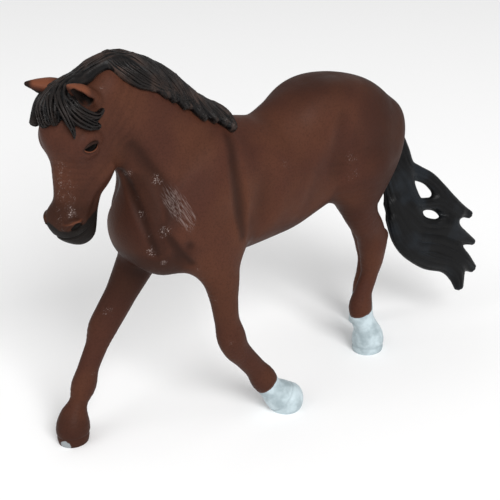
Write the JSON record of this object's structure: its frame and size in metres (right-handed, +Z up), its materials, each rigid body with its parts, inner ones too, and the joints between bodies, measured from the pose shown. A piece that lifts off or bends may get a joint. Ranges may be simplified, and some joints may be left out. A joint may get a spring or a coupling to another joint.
{
  "type": "toy horse figurine",
  "caption": "Trotting bay horse figurine in moulded plastic, with sculpted muscles, a swept mane and forelock, and a streaming openwork tail.",
  "frame": {"origin": "middle of the footprint, on the ground under the horse", "axes": "+Z up, the horse heads along -X, its left side faces -Y"},
  "size_m": [0.1394, 0.0326, 0.1032],
  "materials": {
    "coat": "painted red-brown, matte with a faint stipple",
    "hair": "painted black-brown with brushed grey-brown ridges",
    "white_foot": "painted bluish white, satin",
    "dark_foot": "painted brown, satin, worn pale at the toe"
  },
  "bodies": {
    "root": {"leg_fore_left": "coat", "foot_fore_left": "white_foot", "leg_fore_right": "coat", "foot_fore_right": "dark_foot", "leg_hind_left": "coat", "foot_hind_left": "white_foot", "leg_hind_right": "coat", "foot_hind_right": "white_foot", "mane": "hair", "forelock": "hair", "tail": "hair", "body_left_half": "coat", "body_right_half": "coat", "head": "coat"}
  },
  "joints": []
}
